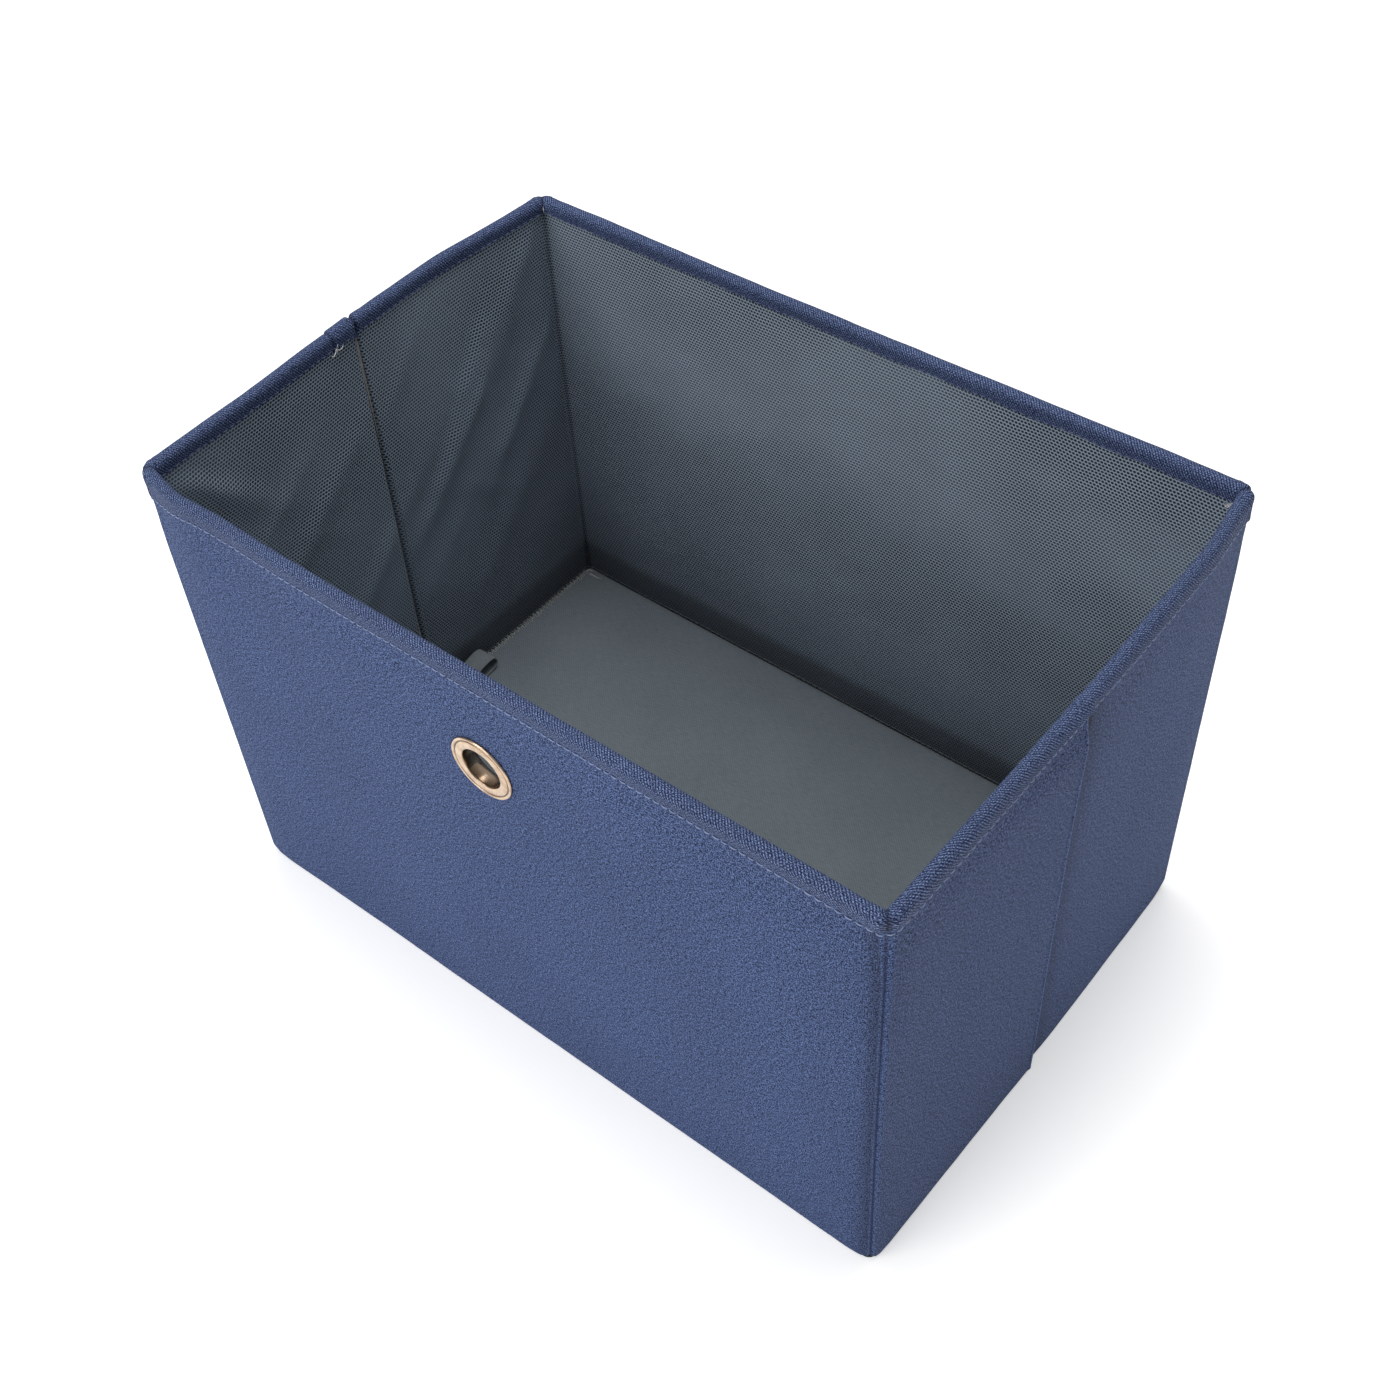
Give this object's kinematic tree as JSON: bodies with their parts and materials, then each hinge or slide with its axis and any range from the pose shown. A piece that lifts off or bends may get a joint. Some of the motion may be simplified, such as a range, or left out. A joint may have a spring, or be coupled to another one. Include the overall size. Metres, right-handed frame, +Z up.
{
  "type": "fabric storage bin",
  "caption": "Open-topped rectangular storage bin of woven cloth over stiff wall panels, with a round brass eyelet in the front and a loose covered base board with a ribbon pull loop.",
  "frame": {"origin": "centre of the rectangular footprint, on the floor the bin stands on", "axes": "+Z up; +X to the right along the long side; the eyelet's wall faces -Y"},
  "size_m": [0.3818, 0.256, 0.257],
  "materials": {
    "cover_cloth": "heathered blue woven polyester",
    "lining_cloth": "grey nonwoven with a dimple pattern",
    "board_cloth": "smooth grey nonwoven",
    "ribbon": "grey nonwoven tape",
    "blue_thread": "light blue sewing thread",
    "grey_thread": "pale grey sewing thread",
    "greyboard": "plain grey board",
    "brass": "pale polished brass"
  },
  "bodies": {
    "shell": {"outer_cover": "cover_cloth", "rim_binding": "cover_cloth", "wall_lining": "lining_cloth", "base_cloth": "lining_cloth", "front_stiffener": "greyboard", "back_stiffener": "greyboard", "left_front_stiffener": "greyboard", "left_rear_stiffener": "greyboard", "right_front_stiffener": "greyboard", "right_rear_stiffener": "greyboard", "rim_topstitching": "blue_thread", "cover_closing_stitching": "blue_thread", "lining_closing_stitching": "grey_thread", "base_seam_stitching": "grey_thread", "eyelet_flange": "brass", "eyelet_washer": "brass"},
    "board": {"board_core": "greyboard", "board_cover": "board_cloth", "board_edge_stitching": "grey_thread", "board_corner_tack": "grey_thread", "loop_tack": "grey_thread"},
    "loop": {"pull_loop": "ribbon"}
  },
  "joints": [
    {"name": "board_lift", "type": "slide", "parent": "shell", "child": "board", "axis": [0, 0, 1], "range_m": [0, 0.26]},
    {"name": "loop_swing", "type": "hinge", "parent": "board", "child": "loop", "pos_m": [-0.175, 0, 0.018], "axis": [1, 0, 0], "range_deg": [0, 100]}
  ]
}
